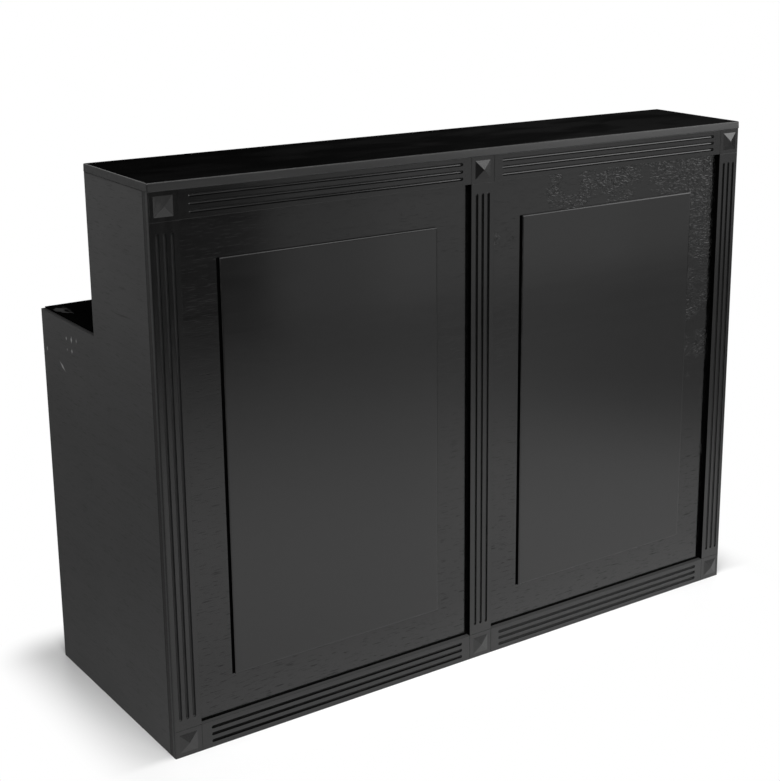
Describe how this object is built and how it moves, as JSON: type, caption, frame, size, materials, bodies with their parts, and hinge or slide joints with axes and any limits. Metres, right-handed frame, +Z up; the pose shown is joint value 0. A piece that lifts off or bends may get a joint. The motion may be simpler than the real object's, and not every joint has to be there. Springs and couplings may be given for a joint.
{
  "type": "folding portable bar",
  "caption": "Free-standing folding bar with a fluted, panelled front, hinged stepped wings, a lift-off counter and a lift-out worktop.",
  "frame": {"origin": "on the floor, in the middle of the bar's width and depth", "axes": "+X along the front to the right as seen from the customer's side, +Y to the back, +Z up"},
  "size_m": [1.5, 0.56, 1.148],
  "materials": {
    "frame_paint": "black satin paint on wood",
    "field_grain": "black stain on open-grained veneer",
    "panel_satin": "smooth black satin paint",
    "wing_paint": "black satin paint on wood",
    "inside_paint": "black matt paint on wood",
    "counter_satin": "black matt coating with a satin rim",
    "worktop_laminate": "black hard laminate",
    "hinge_steel": "black lacquered steel",
    "pin_steel": "bright steel"
  },
  "bodies": {
    "front_panel": {"left_stile": "frame_paint", "centre_stile": "frame_paint", "right_stile": "frame_paint", "top_left_rail": "frame_paint", "top_right_rail": "frame_paint", "top_left_rosette_block": "frame_paint", "top_centre_rosette_block": "frame_paint", "top_right_rosette_block": "frame_paint", "bottom_left_rail": "frame_paint", "bottom_right_rail": "frame_paint", "bottom_left_rosette_block": "frame_paint", "bottom_centre_rosette_block": "frame_paint", "bottom_right_rosette_block": "frame_paint", "backing_board": "field_grain", "left_raised_panel": "panel_satin", "left_hinge_batten": "inside_paint", "right_raised_panel": "panel_satin", "right_hinge_batten": "inside_paint", "left_lower_hinge_panel_leaf": "hinge_steel", "left_lower_hinge_pin": "pin_steel", "left_middle_hinge_panel_leaf": "hinge_steel", "left_middle_hinge_pin": "pin_steel", "left_upper_hinge_panel_leaf": "hinge_steel", "left_upper_hinge_pin": "pin_steel", "right_lower_hinge_panel_leaf": "hinge_steel", "right_lower_hinge_pin": "pin_steel", "right_middle_hinge_panel_leaf": "hinge_steel", "right_middle_hinge_pin": "pin_steel", "right_upper_hinge_panel_leaf": "hinge_steel", "right_upper_hinge_pin": "pin_steel"},
    "left_wing": {"left_wing": "wing_paint", "left_worktop_cleat": "inside_paint", "left_lower_hinge_wing_leaf": "hinge_steel", "left_middle_hinge_wing_leaf": "hinge_steel", "left_upper_hinge_wing_leaf": "hinge_steel"},
    "right_wing": {"right_wing": "wing_paint", "right_worktop_cleat": "inside_paint", "right_lower_hinge_wing_leaf": "hinge_steel", "right_middle_hinge_wing_leaf": "hinge_steel", "right_upper_hinge_wing_leaf": "hinge_steel"},
    "worktop": {"worktop_board": "inside_paint", "worktop_surface": "worktop_laminate"},
    "counter": {"counter_top": "counter_satin", "counter_cleat": "inside_paint"}
  },
  "joints": [
    {"name": "left_wing_fold", "type": "hinge", "parent": "front_panel", "child": "left_wing", "pos_m": [-0.7297, -0.2336, 0], "axis": [0, 0, -1], "range_deg": [0, 90]},
    {"name": "right_wing_fold", "type": "hinge", "parent": "front_panel", "child": "right_wing", "pos_m": [0.7297, -0.2336, 0], "axis": [0, 0, 1], "range_deg": [0, 90]},
    {"name": "worktop_lift", "type": "slide", "parent": "front_panel", "child": "worktop", "axis": [0, 0, 1], "range_m": [0, 0.8551]},
    {"name": "counter_lift", "type": "slide", "parent": "front_panel", "child": "counter", "axis": [0, 0, 1], "range_m": [0, 0.3]}
  ],
  "couplings": [
    {"joint": "right_wing_fold", "follows": "left_wing_fold", "ratio": 1},
    {"joint": "worktop_lift", "follows": "left_wing_fold", "m_per_rad": 0.5443}
  ]
}
